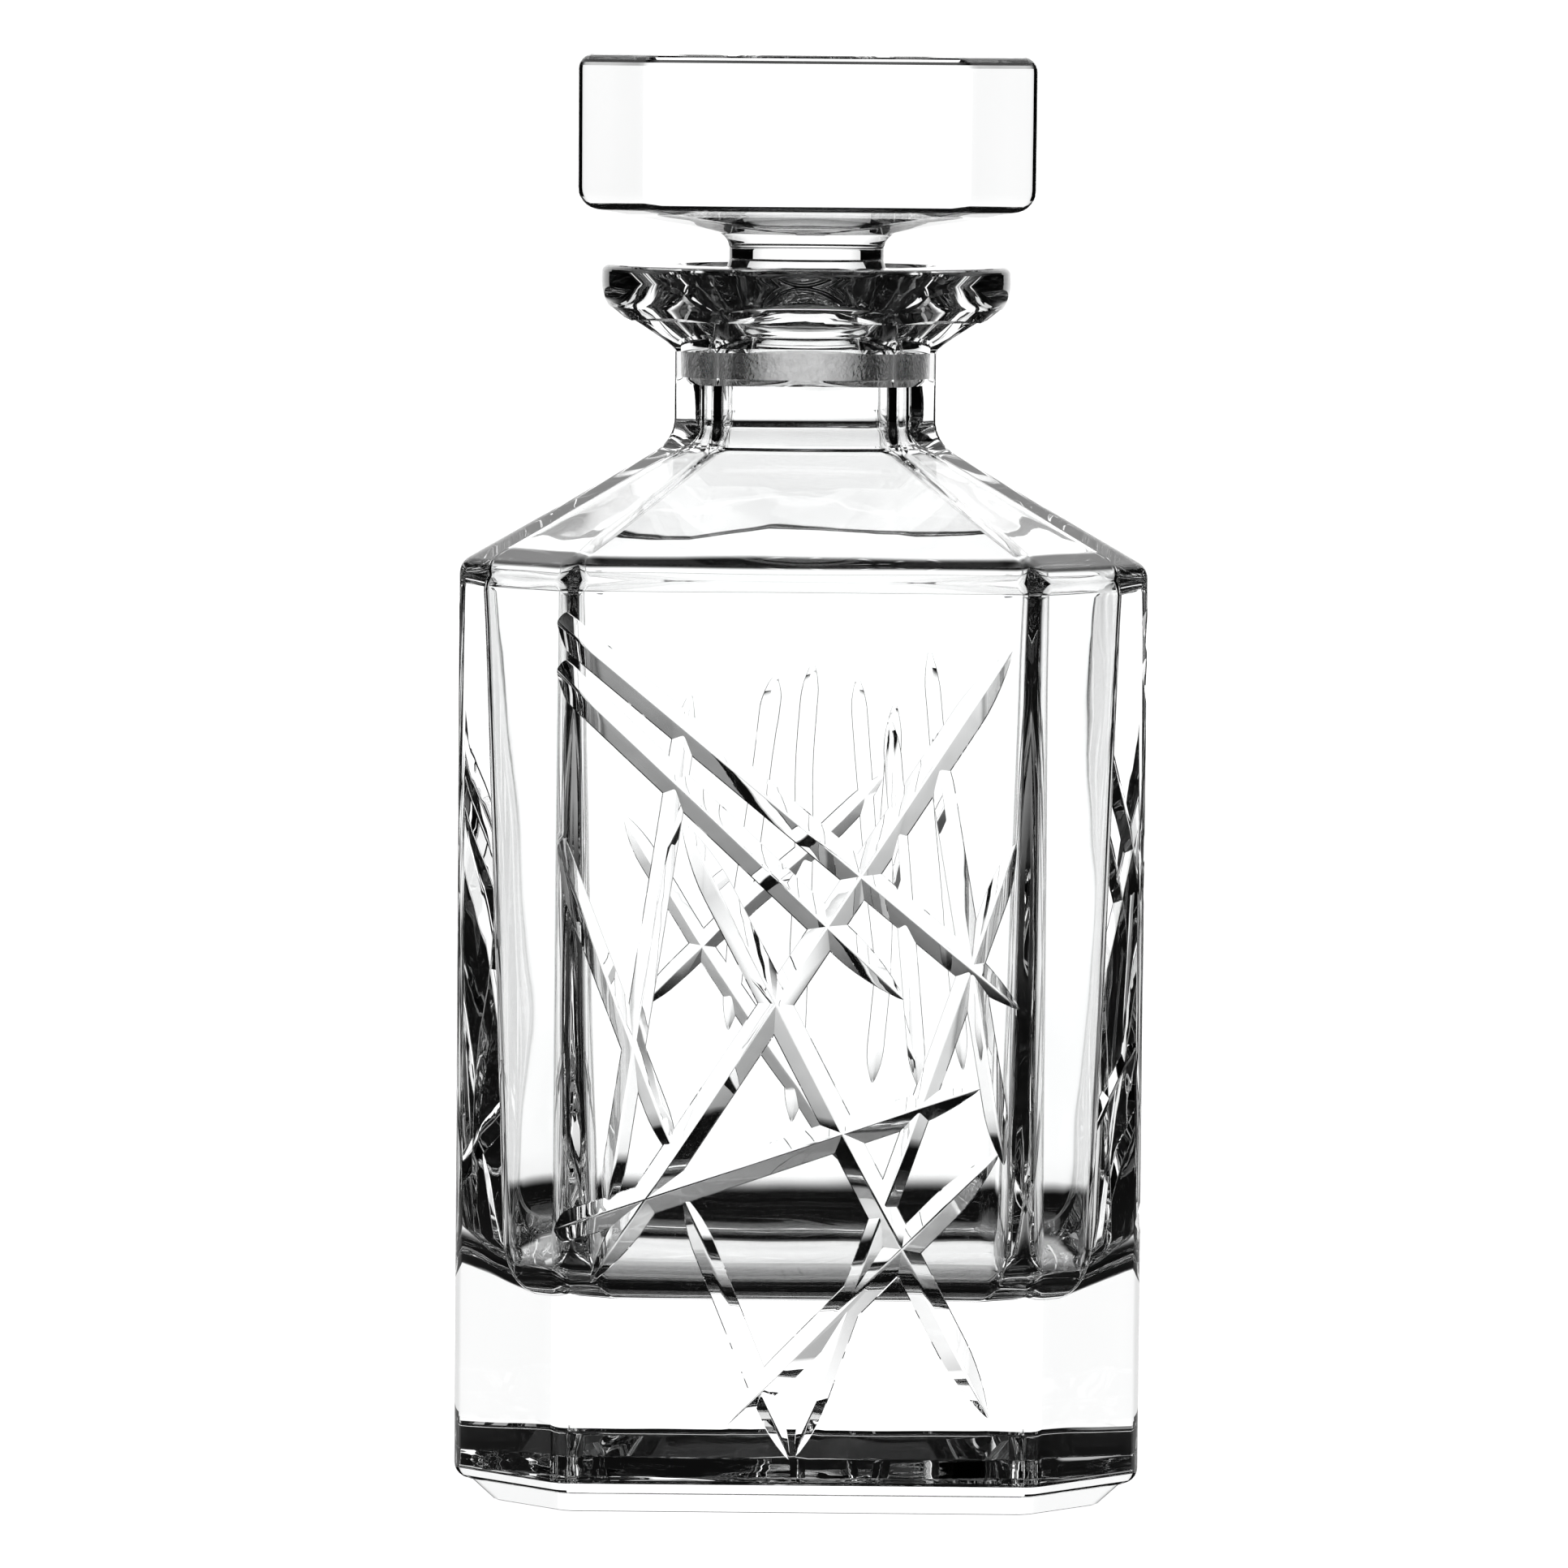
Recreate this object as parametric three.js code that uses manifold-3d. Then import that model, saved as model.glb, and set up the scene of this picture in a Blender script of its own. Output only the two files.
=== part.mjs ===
// A square cut-crystal whisky decanter with a solid crystal stopper, in millimetres.
// +Z is up, the origin is the centre of the foot, and the front face looks along -Y.
import * as THREE from "three";
import { mergeVertices } from "three/addons/utils/BufferGeometryUtils.js";
import Module from "manifold-3d";

// Driving dimensions of the bottle's outside.
const BODY_FLAT = 50; // axis to each flat face
const BODY_CORNER = 59.7; // axis to each 45 degree corner face
const FOOT_FLAT = 44.3; // the same two distances under the foot, inside the ground bevel
const FOOT_CORNER = 55;
const BEVEL_Z = 3.1; // top of the bevel
const BEVEL_ROUND = 2.4; // rounded edge between the bevel and the faces
const SHOULDER_Z = 137.2; // where the faces would meet the sloping shoulder
const SHOULDER_ROUND = 2.6;
const SHOULDER_SLOPE = 29; // degrees
const NECK_FLAT = 19.2; // axis to each of the neck's four flats
const NECK_CORNER = 23.1; // axis to each of its corner chamfers
const NECK_FILLET = 5.8;
const COLLAR_FOOT_Z = 168; // where the collar's eight sloping panels leave the neck
const COLLAR_CREASE_Z = 172.9; // where they meet the round lip
const COLLAR_CREASE_FLAT = 26.7;
const COLLAR_CREASE_CORNER = 28.2;
const COLLAR_CREASE_ROUNDNESS = 0.4; // keeps the crease's corners inside the lip
const RIM_Z = 179.9; // top of the lip
const LIP_OUTLINE = [
  { radius: 28.6, z: 173.9 },
  { radius: 29.6, z: 174.9 },
  { radius: 30.15, z: 176.1 },
  { radius: 30.4, z: 177.7 },
  { radius: 30.2, z: 179.3 },
  { radius: 29.6, z: RIM_Z },
];

// Driving dimensions of the hollow.
const CAVITY_FLOOR_Z = 30.2;
const CAVITY_FLOOR_FLAT = 38.2;
const CAVITY_FLOOR_CORNER = 47.8;
const CAVITY_FLOOR_ROUND = 7.5;
const CAVITY_TOP_Z = 135.8;
const CAVITY_TOP_FLAT = 44;
const CAVITY_TOP_CORNER = 53.7;
const BORE_FLAT = 13.4; // the blown bore follows the neck's flats and chamfers
const BORE_CORNER = 17.6;
const BORE_TOP_Z = 162.4; // above this the bore turns round to meet the seat
const BORE_FLARE = 3; // growth of the bore where it opens into the shoulder
const BORE_FLARE_HEIGHT = 4;
const SEAT_Z = 163.3; // lower end of the ground seat
const SEAT_RADIUS = 13.1;
const SEAT_TAPER = 0.03; // growth of the radius for each millimetre up
const MOUTH_Z = 174.6; // where the seat opens into the flared pouring mouth
const MOUTH_RADIUS = 19.2; // the mouth at the top of the lip
const MOUTH_OVERCUT = 0.6; // height by which the hollow's solid passes the lip

// Driving dimensions of the stopper.
const SEAT_GAP = 0.3; // clearance all round the ground plug
const PLUG_END_Z = 162.5;
const PLUG_END_CHAMFER = 0.8;
const PLUG_TOP_Z = 178.6;
const STEM_RADIUS = 11.5;
const STEM_STEP = 1.4; // height of the step from the plug to the stem
const STEM_TOP_Z = 182.2;
const STEM_FLARE = 2.6; // radius of the curve under the head
const STEM_FLARE_TURN = 70; // degrees of that curve before the underside slopes away
const HEAD_FLAT = 33.8;
const HEAD_CORNER = 40.2;
const HEAD_UNDERSIDE_Z = 188.2;
const HEAD_TOP_Z = 211;
const HEAD_TOP_ROUND = 1.6;
const HEAD_FOOT_ROUND = 3.3;

// Mitre cuts: [x, z] of both ends seen from outside the face, and the width of the V.
const WIDE = 4.6;
const MIDDLE = 3.4;
const FINE = 2.4;
const FACE_CUTS = [
  { from: [-43, 135.8], to: [31.9, 74.1], width: WIDE },
  { from: [-43, 129.7], to: [15.3, 75.3], width: WIDE },
  { from: [30.3, 126.5], to: [-30.2, 33.8], width: WIDE },
  { from: [-17.4, 101.5], to: [27.9, 14.6], width: WIDE },
  { from: [-43, 39], to: [26.5, 63], width: WIDE },
  { from: [-10.2, 13.4], to: [29.2, 53.8], width: WIDE },
  { from: [-43, 117.4], to: [-17.4, 51.4], width: MIDDLE },
  { from: [-16, 120.1], to: [-27.7, 43.3], width: MIDDLE },
  { from: [18.9, 114.3], to: [29.7, 51.4], width: MIDDLE },
  { from: [31, 98.6], to: [-0.2, 8.9], width: MIDDLE },
  { from: [12.5, 116.6], to: [17.3, 62.5], width: FINE },
  { from: [-16.7, 47.3], to: [-0.9, 8.4], width: MIDDLE },
];
const BACK_CUTS = [
  { from: [4.2, 114.4], to: [10.5, 58], width: FINE },
  { from: [-0.5, 116.4], to: [1.5, 44], width: FINE },
  { from: [-7.5, 113.6], to: [-12, 64], width: FINE },
  { from: [-14, 109.5], to: [-10.5, 50], width: FINE },
  { from: [-19.3, 116.8], to: [-26, 52], width: FINE },
  { from: [-12.4, 98.5], to: [24, 61], width: MIDDLE },
  { from: [27, 92], to: [-8, 36], width: MIDDLE },
];
const FACES = [
  { turn: 0, cuts: FACE_CUTS },
  { turn: 90, cuts: FACE_CUTS },
  { turn: 180, cuts: BACK_CUTS },
  { turn: 270, cuts: FACE_CUTS },
];
const CUT_SLOPE = Math.tan(THREE.MathUtils.degToRad(21)); // slope of a V's sides
const CUT_LIFT = 0.5; // how far a cutter stands proud of the face
const CUT_RUN_OUT = 2.6; // length of a cut's tapering end, in widths

const SIDES = 8;
const POINTS_PER_SIDE = 6;
const ROUND_STEPS = 3;

const wasm = await Module();
wasm.setup();

// Corners of an eight-sided section: flat faces at one distance, corner faces at the other.
function octagonCorners(flat, corner) {
  const along = corner * Math.SQRT2 - flat;
  const corners = [];
  for (let side = 0; side < SIDES; side += 1) {
    const quarter = Math.floor(side / 2);
    const angle = (quarter * Math.PI) / 2;
    const local = side % 2 ? [along, flat] : [flat, along];
    corners.push(new THREE.Vector2(...local).rotateAround(new THREE.Vector2(), angle));
  }
  return corners;
}

// One ring of a loft: an octagon that turns into a circle as roundness goes from 0 to 1.
function ring(z, flat, corner = flat, roundness = 0) {
  const corners = octagonCorners(flat, corner);
  const points = [];
  for (let side = 0; side < SIDES; side += 1) {
    const start = corners[side];
    const end = corners[(side + 1) % SIDES];
    for (let step = 0; step < POINTS_PER_SIDE; step += 1) {
      const share = step / POINTS_PER_SIDE;
      const angle = ((side + 0.5 + share) * 2 * Math.PI) / SIDES;
      const onCircle = new THREE.Vector2(Math.cos(angle), Math.sin(angle)).multiplyScalar(flat);
      const point = start.clone().lerp(end, share).lerp(onCircle, roundness);
      points.push(new THREE.Vector3(point.x, point.y, z));
    }
  }
  return points;
}

const circle = (z, radius) => ring(z, radius, radius, 1);

// Steps of an arc between two angles in degrees, as [cosine, sine] pairs.
function arc(from, to) {
  const steps = [];
  for (let step = 0; step <= ROUND_STEPS; step += 1) {
    const angle = THREE.MathUtils.degToRad(THREE.MathUtils.lerp(from, to, step / ROUND_STEPS));
    steps.push([Math.cos(angle), Math.sin(angle)]);
  }
  return steps;
}

// A closed solid through a stack of rings, from the lowest to the highest.
function loft(rings) {
  const count = rings[0].length;
  const positions = rings.flat().flatMap((point) => point.toArray());
  const faces = [];
  for (let level = 0; level + 1 < rings.length; level += 1) {
    for (let i = 0; i < count; i += 1) {
      const next = (i + 1) % count;
      const low = level * count;
      const high = low + count;
      faces.push(low + i, low + next, high + next, low + i, high + next, high + i);
    }
  }
  const last = (rings.length - 1) * count;
  for (let i = 1; i + 1 < count; i += 1) {
    faces.push(0, i + 1, i, last, last + i, last + i + 1);
  }
  return solid(positions, faces);
}

function solid(positions, faces) {
  const geometry = new THREE.BufferGeometry();
  geometry.setAttribute("position", new THREE.Float32BufferAttribute(positions, 3));
  geometry.setIndex(faces);
  const merged = mergeVertices(geometry);
  return new wasm.Manifold(
    new wasm.Mesh({
      numProp: 3,
      vertProperties: merged.attributes.position.array,
      triVerts: new Uint32Array(merged.index.array),
    }),
  );
}

// Rise of the sloping shoulder from one distance from the axis to another, outside or inside.
function shoulderRise(fromFlat, toFlat) {
  return (fromFlat - toFlat) * Math.tan(THREE.MathUtils.degToRad(SHOULDER_SLOPE));
}

// Outside of the bottle: foot bevel, faces, faceted shoulder, chamfered neck and flared collar.
function bottleOutside() {
  const rings = [ring(0, FOOT_FLAT, FOOT_CORNER)];
  for (const [side, down] of arc(90, 0)) {
    const inset = BEVEL_ROUND * (1 - side);
    rings.push(ring(BEVEL_Z + BEVEL_ROUND * (1 - down), BODY_FLAT - inset, BODY_CORNER - inset));
  }
  const shoulderTurn = 90 - SHOULDER_SLOPE;
  const tangent = SHOULDER_ROUND * Math.tan(THREE.MathUtils.degToRad(shoulderTurn / 2));
  for (const [side, up] of arc(0, shoulderTurn)) {
    const inset = SHOULDER_ROUND * (1 - side);
    const z = SHOULDER_Z - tangent + SHOULDER_ROUND * up;
    rings.push(ring(z, BODY_FLAT - inset, BODY_CORNER - inset));
  }
  const [[filletSide, filletUp]] = arc(SHOULDER_SLOPE, 90);
  const filletFlat = NECK_FLAT + NECK_FILLET * (1 - filletUp);
  const filletTopZ = SHOULDER_Z + shoulderRise(BODY_FLAT, filletFlat) + NECK_FILLET * filletSide;
  for (const [side, up] of arc(SHOULDER_SLOPE, 90)) {
    const outset = NECK_FILLET * (1 - up);
    rings.push(ring(filletTopZ - NECK_FILLET * side, NECK_FLAT + outset, NECK_CORNER + outset));
  }
  rings.push(ring(COLLAR_FOOT_Z, NECK_FLAT, NECK_CORNER));
  rings.push(
    ring(COLLAR_CREASE_Z, COLLAR_CREASE_FLAT, COLLAR_CREASE_CORNER, COLLAR_CREASE_ROUNDNESS),
  );
  for (const { radius, z } of LIP_OUTLINE) {
    rings.push(circle(z, radius));
  }
  return loft(rings);
}

// The hollow: a tapering eight-sided chamber, its shoulder, the blown bore, the ground seat and the mouth.
function bottleHollow() {
  const rings = arc(90, 0).map(([side, down]) => {
    const inset = CAVITY_FLOOR_ROUND * (1 - side);
    const z = CAVITY_FLOOR_Z + CAVITY_FLOOR_ROUND * (1 - down);
    return ring(z, CAVITY_FLOOR_FLAT - inset, CAVITY_FLOOR_CORNER - inset);
  });
  rings.push(ring(CAVITY_TOP_Z, CAVITY_TOP_FLAT, CAVITY_TOP_CORNER));
  const flareFlat = BORE_FLAT + BORE_FLARE;
  const flareZ = CAVITY_TOP_Z + shoulderRise(CAVITY_TOP_FLAT, flareFlat);
  for (const [side, up] of arc(0, 90)) {
    const outset = BORE_FLARE * (1 - up);
    const z = flareZ + BORE_FLARE_HEIGHT * (1 - side);
    rings.push(ring(z, BORE_FLAT + outset, BORE_CORNER + outset));
  }
  rings.push(ring(BORE_TOP_Z, BORE_FLAT, BORE_CORNER));
  rings.push(circle(SEAT_Z, SEAT_RADIUS));
  const mouthGrowth = (MOUTH_RADIUS - seatRadius(MOUTH_Z)) / (RIM_Z - MOUTH_Z);
  rings.push(circle(MOUTH_Z, seatRadius(MOUTH_Z)));
  rings.push(circle(RIM_Z + MOUTH_OVERCUT, MOUTH_RADIUS + mouthGrowth * MOUTH_OVERCUT));
  return loft(rings);
}

function seatRadius(z) {
  return SEAT_RADIUS + SEAT_TAPER * (z - SEAT_Z);
}

// One V-shaped cutter on the front face, with a keel that rises to the face at both ends.
function mitreCutter({ from, to, width }) {
  const start = new THREE.Vector2(...from);
  const end = new THREE.Vector2(...to);
  const length = start.distanceTo(end);
  const along = end.clone().sub(start).normalize();
  const across = new THREE.Vector2(-along.y, along.x);
  const depth = (width / 2) * CUT_SLOPE;
  const runOut = CUT_RUN_OUT * width;
  const stations = [
    [0, 0],
    [runOut, depth],
    [length - runOut, depth],
    [length, 0],
  ];
  const positions = [];
  for (const [distance, keel] of stations) {
    const middle = start.clone().addScaledVector(along, distance);
    const half = (keel + CUT_LIFT) / CUT_SLOPE;
    for (const side of [-half, half]) {
      const edge = middle.clone().addScaledVector(across, side);
      positions.push(edge.x, -BODY_FLAT - CUT_LIFT, edge.y);
    }
    positions.push(middle.x, -BODY_FLAT + keel, middle.y);
  }
  const faces = [0, 1, 2];
  for (let station = 0; station + 1 < stations.length; station += 1) {
    for (let i = 0; i < 3; i += 1) {
      const a = station * 3 + i;
      const b = station * 3 + ((i + 1) % 3);
      faces.push(a, b + 3, b, a, a + 3, b + 3);
    }
  }
  const last = (stations.length - 1) * 3;
  faces.push(last, last + 2, last + 1);
  return solid(positions, faces);
}

function bottle() {
  let shape = bottleOutside().subtract(bottleHollow());
  for (const { turn, cuts } of FACES) {
    for (const cut of cuts) {
      shape = shape.subtract(mitreCutter(cut).rotate([0, 0, turn]));
    }
  }
  return shape;
}

// The stopper in one piece: ground plug, stem, tapering underside and square head.
function stopper() {
  const plugRadius = (z) => seatRadius(z) - SEAT_GAP;
  const rings = [
    circle(PLUG_END_Z, plugRadius(PLUG_END_Z) - PLUG_END_CHAMFER),
    circle(PLUG_END_Z + PLUG_END_CHAMFER, plugRadius(PLUG_END_Z + PLUG_END_CHAMFER)),
    circle(PLUG_TOP_Z, plugRadius(PLUG_TOP_Z)),
    circle(PLUG_TOP_Z + STEM_STEP, STEM_RADIUS),
  ];
  for (const [side, up] of arc(0, STEM_FLARE_TURN)) {
    rings.push(circle(STEM_TOP_Z + STEM_FLARE * up, STEM_RADIUS + STEM_FLARE * (1 - side)));
  }
  for (const [side, down] of arc(90, 0)) {
    const inset = HEAD_FOOT_ROUND * (1 - side);
    const z = HEAD_UNDERSIDE_Z + HEAD_FOOT_ROUND * (1 - down);
    rings.push(ring(z, HEAD_FLAT - inset, HEAD_CORNER - inset));
  }
  for (const [side, up] of arc(0, 90)) {
    const inset = HEAD_TOP_ROUND * (1 - side);
    const z = HEAD_TOP_Z - HEAD_TOP_ROUND * (1 - up);
    rings.push(ring(z, HEAD_FLAT - inset, HEAD_CORNER - inset));
  }
  return loft(rings);
}

function crystalMesh(name, shape) {
  const { vertProperties, triVerts, numProp } = shape.getMesh();
  const geometry = new THREE.BufferGeometry();
  const buffer = new THREE.InterleavedBuffer(new Float32Array(vertProperties), numProp);
  geometry.setAttribute("position", new THREE.InterleavedBufferAttribute(buffer, 3, 0));
  geometry.setIndex(new THREE.BufferAttribute(new Uint32Array(triVerts), 1));
  const flat = geometry.toNonIndexed();
  flat.computeVertexNormals();
  const material = new THREE.MeshStandardMaterial({
    color: 0xf2f6f7,
    roughness: 0.02,
    metalness: 0,
    transparent: true,
    opacity: 0.35,
  });
  const mesh = new THREE.Mesh(flat, material);
  mesh.name = name;
  return mesh;
}

const decanter = new THREE.Group();
decanter.add(crystalMesh("bottle", bottle()));
decanter.add(crystalMesh("stopper", stopper()));

export default decanter;
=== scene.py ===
# A square cut-crystal decanter with a ground-in stopper, lit bright-field on a pale floor.
import math

import bpy
from mathutils import Matrix, Vector, noise


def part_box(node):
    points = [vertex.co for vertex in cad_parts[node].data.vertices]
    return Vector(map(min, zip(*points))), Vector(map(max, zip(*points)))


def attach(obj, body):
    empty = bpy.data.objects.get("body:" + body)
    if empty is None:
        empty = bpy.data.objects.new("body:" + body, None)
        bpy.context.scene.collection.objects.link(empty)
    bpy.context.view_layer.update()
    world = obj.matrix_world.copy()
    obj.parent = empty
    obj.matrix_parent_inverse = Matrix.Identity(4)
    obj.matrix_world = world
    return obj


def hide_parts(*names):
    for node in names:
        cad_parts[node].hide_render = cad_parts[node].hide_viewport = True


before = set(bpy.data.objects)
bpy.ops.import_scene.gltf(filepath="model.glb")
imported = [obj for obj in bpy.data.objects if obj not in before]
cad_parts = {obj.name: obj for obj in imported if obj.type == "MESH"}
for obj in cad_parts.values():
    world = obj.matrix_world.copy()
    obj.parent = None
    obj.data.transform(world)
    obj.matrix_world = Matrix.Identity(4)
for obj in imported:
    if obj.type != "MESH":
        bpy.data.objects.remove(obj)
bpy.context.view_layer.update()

MM = 0.001

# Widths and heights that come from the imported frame, in millimetres.
BOTTLE_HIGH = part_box("bottle")[1] / MM
STOPPER_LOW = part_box("stopper")[0] / MM
STOPPER_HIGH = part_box("stopper")[1] / MM
BODY_FLAT = BOTTLE_HIGH.x  # axis to each flat face
RIM_Z = BOTTLE_HIGH.z
HEAD_FLAT = STOPPER_HIGH.x
HEAD_TOP_Z = STOPPER_HIGH.z
PLUG_END_Z = STOPPER_LOW.z

# The bottle's outside, in millimetres. A corner distance is from the axis to a 45 degree face.
BODY_CORNER = BODY_FLAT + 9.7
FOOT_FLAT = BODY_FLAT - 5.7
FOOT_CORNER = BODY_CORNER - 4.7
FOOT_SOFTENING = 0.25  # tiny rounding where the bevel meets the flat foot
BEVEL_Z = 3.1  # top of the ground bevel
BEVEL_ROUND = 2.4
SHOULDER_Z = 137.2  # where the faces would meet the sloping shoulder
SHOULDER_ROUND = 2.6
SHOULDER_ANGLE = math.radians(29)
UPRIGHT_EDGE_ROUND = 3.8
UPRIGHT_EDGE_LOSS = 2.2  # by how much these edges grow crisper up the shoulder
NECK_FLAT = 19.2
NECK_CORNER = 23.1
NECK_FILLET = 5.8
NECK_FILLET_EDGE = 1.6
NECK_EDGE = 1.4
COLLAR_FOOT_Z = RIM_Z - 11.9  # where the collar's eight sloping panels leave the neck
COLLAR_BEND = [  # height over the collar's foot, growth of the flats and corners, edge radius
    (-0.6, 0, 0, 1.2),
    (0, 0.35, 0.3, 1.0),
    (0.8, 1.3, 0.9, 0.9),
]
COLLAR_EDGE = 0.8
COLLAR_CREASE_Z = RIM_Z - 7.0  # where the panels meet the round lip
COLLAR_CREASE_FLAT = 26.7
COLLAR_CREASE_CORNER = 28.2
COLLAR_CREASE_EDGE = 0.6
CREASE_RADIUS = 28.6  # the crease's corners are drawn in to this radius
CREASE_DROP = 0.35  # the crease's fall for each millimetre beyond the flats
RIM_RADIUS = 30.4
LIP_LOW_RADIUS = 28.4
LIP_LOW_TURN = 65  # degrees of the lip's lower curve
LIP_LOW_HEIGHT = 4.2
LIP_LOW_LIFT = 0.3
LIP_LOW_FULLNESS = 0.9
LIP_TOP_ROUND = 1.3

# The hollow, in millimetres.
CAVITY_FLOOR_Z = 30.2
CAVITY_FLOOR_FLAT = 38.2
CAVITY_FLOOR_CORNER = 47.8
CAVITY_FLOOR_ROUND = 7.5
CAVITY_TOP_Z = 135.8
CAVITY_TOP_FLAT = 44
CAVITY_TOP_CORNER = 53.7
CAVITY_TOP_ROUND = 4.5
CAVITY_EDGE_LOW = 3.4  # radius of the upright inner edges at the floor
CAVITY_EDGE_HIGH = 2.2  # and under the shoulder
CAVITY_SHOULDER_EDGE_GROWTH = 1.5
CAVITY_FLOOR_EDGE_LOSS = 0.6  # for each millimetre that the floor's rounding runs inward
CAVITY_FLOOR_EDGE_LEAST = 1.5
BORE_FLAT = 13.4
BORE_CORNER = 17.6
BORE_EDGE = 3.0
BORE_TOP_Z = 162.4  # above this the bore turns round to meet the seat
BORE_FLARE = 3.0  # growth of the bore where it opens into the shoulder
BORE_FLARE_HEIGHT = 4.0
BORE_FLARE_EDGE_GROWTH = 0.7
SEAT_Z = 163.3  # lower end of the ground seat
SEAT_RADIUS = 13.1
SEAT_TAPER = 0.03  # growth of the radius for each millimetre up
GROUND_REACH = SEAT_RADIUS + 0.7  # faces within this radius belong to the seat or the plug
FROST_TOP_Z = 169.0  # the joint is clear above this
MOUTH_Z = 174.6  # where the seat opens into the flared pouring mouth
MOUTH_RADIUS = 19.2
MOUTH_BEND = 0.4  # softening where the mouth leaves the seat
MOUTH_RINGS = [0.4, 2.0, 3.6]  # heights over the seat's top
MOUTH_EDGE = 0.5  # height of the softened edge at the lip
MOUTH_EDGE_SOFTENING = 0.1
MOUTH_OVERCUT = 0.6  # height by which the hollow's solid passes the lip

# The stopper, in millimetres.
SEAT_GAP = 0.3  # clearance all round the ground plug
PLUG_END_ROUND = 0.8
PLUG_FROST_LIFT = 0.4  # the frost starts this far above the plug's lower end
PLUG_TOP_Z = 178.6
PLUG_TOP_ROUND = 1.0
STEM_RADIUS = 11.5
STEM_FOOT = 0.3  # width of the slope from the plug's rounded top to the stem
STEM_RINGS = [2.0, 3.0]  # heights over the plug's top
STEM_TOP_Z = PLUG_TOP_Z + 3.6
STEM_FLARE = 2.6  # radius of the curve under the head
STEM_FLARE_TURN = 68  # degrees of that curve
UNDERSIDE_Z = 188.2
UNDERSIDE_STEPS = 10
UNDERSIDE_SQUARING = 1.5  # how fast the round stem turns into the square head
HEAD_CORNER = HEAD_FLAT + 6.4
HEAD_EDGE_ROUND = 3.4
HEAD_TOP_ROUND = 2.2
HEAD_TOP_EDGE_LOSS = 0.5  # for each millimetre that the top's rounding runs inward
HEAD_FOOT_ROUND = 3.3
HEAD_FOOT_TURN = 84  # degrees of the head's lower rounding

# The unevenness of blown and fire-polished surfaces, in millimetres.
WALL_UNEVENNESS = 0.34
END_UNEVENNESS = 0.75  # at the chamber's floor and under its shoulder
UNEVEN_ABOVE = 122.0  # heights past which the walls' unevenness starts to grow
UNEVEN_BELOW = 42.0
UNEVEN_BLEND = 12.0  # and the length over which it does
HEAD_UNEVENNESS = 0.3
WAVE_LENGTH = 24
RIPPLE_LENGTH = 9
RIPPLE_SHARE = 0.35
WAVE_DRAW = 0.4  # the unevenness is drawn out along the height
HOLLOW_SEED = 3.7
HEAD_SEED = 8.1

# Mitre cuts, in millimetres: (x, z) of both ends seen from outside, and the width of the V.
WIDE, MIDDLE, FINE = 4.6, 3.4, 2.4
FACE_CUTS = [
    ((-43, 135.8), (31.9, 74.1), WIDE),
    ((-43, 129.7), (15.3, 75.3), WIDE),
    ((30.3, 126.5), (-30.2, 33.8), WIDE),
    ((-17.4, 101.5), (27.9, 14.6), WIDE),
    ((-43, 39), (26.5, 63), WIDE),
    ((-10.2, 13.4), (29.2, 53.8), WIDE),
    ((-43, 117.4), (-17.4, 51.4), MIDDLE),
    ((-16, 120.1), (-27.7, 43.3), MIDDLE),
    ((18.9, 114.3), (29.7, 51.4), MIDDLE),
    ((31, 98.6), (-0.2, 8.9), MIDDLE),
    ((12.5, 116.6), (17.3, 62.5), FINE),
    ((-16.7, 47.3), (-0.9, 8.4), MIDDLE),
]
BACK_CUTS = [
    ((4.2, 114.4), (10.5, 58), FINE),
    ((-0.5, 116.4), (1.5, 44), FINE),
    ((-7.5, 113.6), (-12, 64), FINE),
    ((-14, 109.5), (-10.5, 50), FINE),
    ((-19.3, 116.8), (-26, 52), FINE),
    ((-12.4, 98.5), (24, 61), MIDDLE),
    ((27, 92), (-8, 36), MIDDLE),
]
BACK_FACE = 2  # quarter turns from the front face
CUT_SLOPE = math.tan(math.radians(21))
CUT_RUN_OUT = 2.6  # length of a cut's tapering end, in widths
CUT_RUN_OUT_MOST = 0.45  # its longest, as a share of the cut
CUT_RUN_OUT_STEPS = 6
CUT_END_LIFT = 0.05  # height of a cutter's keel over the face at both ends
CUT_LIFT = 0.3  # how far a cutter stands proud of the face
CUT_FLARE = 0.02  # how much wider it is up there
CUT_SKIN = 0.01  # height over the face at which it reaches the cut's width
LIP_WIDTH = 0.14  # small steep edge along each side of a cut
LIP_DEPTH = 0.17
LIP_MOST = 0.2  # its greatest share of the depth
VALLEY_WIDTH = 0.25  # softened bottom of the V
VALLEY_MOST = 0.3  # its greatest share of the V's half width
VALLEY_FLOOR = 0.3  # share of the valley that is flat at the bottom
VALLEY_RISE = 0.6  # height of that flat over the point of the V, as a share of the valley's depth
SHALLOWEST = 0.08  # depth below which a cutter's section only rises, without narrowing

# Mesh fineness.
ARC_STEPS = 6  # facets round one corner of an eight-sided section
SIDE_STEPS = 10  # facets along one side of it
BODY_SPACING = 12  # between the rings of the body, in millimetres
CAVITY_SPACING = 3.5  # of the chamber's walls
BORE_SPACING = 2
RING_SPACING = 3  # of the neck, the seat, the plug and the head
SHARP_ANGLE = math.radians(12.5)  # faces that meet at more than this keep a crisp edge

# Crystal.
CRYSTAL_IOR = 1.54
CRYSTAL_TINT = (0.992, 0.996, 0.996, 1)
FROST_TINT = (0.97, 0.97, 0.97, 1)
GRAIN_SCALE = 900  # of the patches in the roughness, per metre

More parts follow.
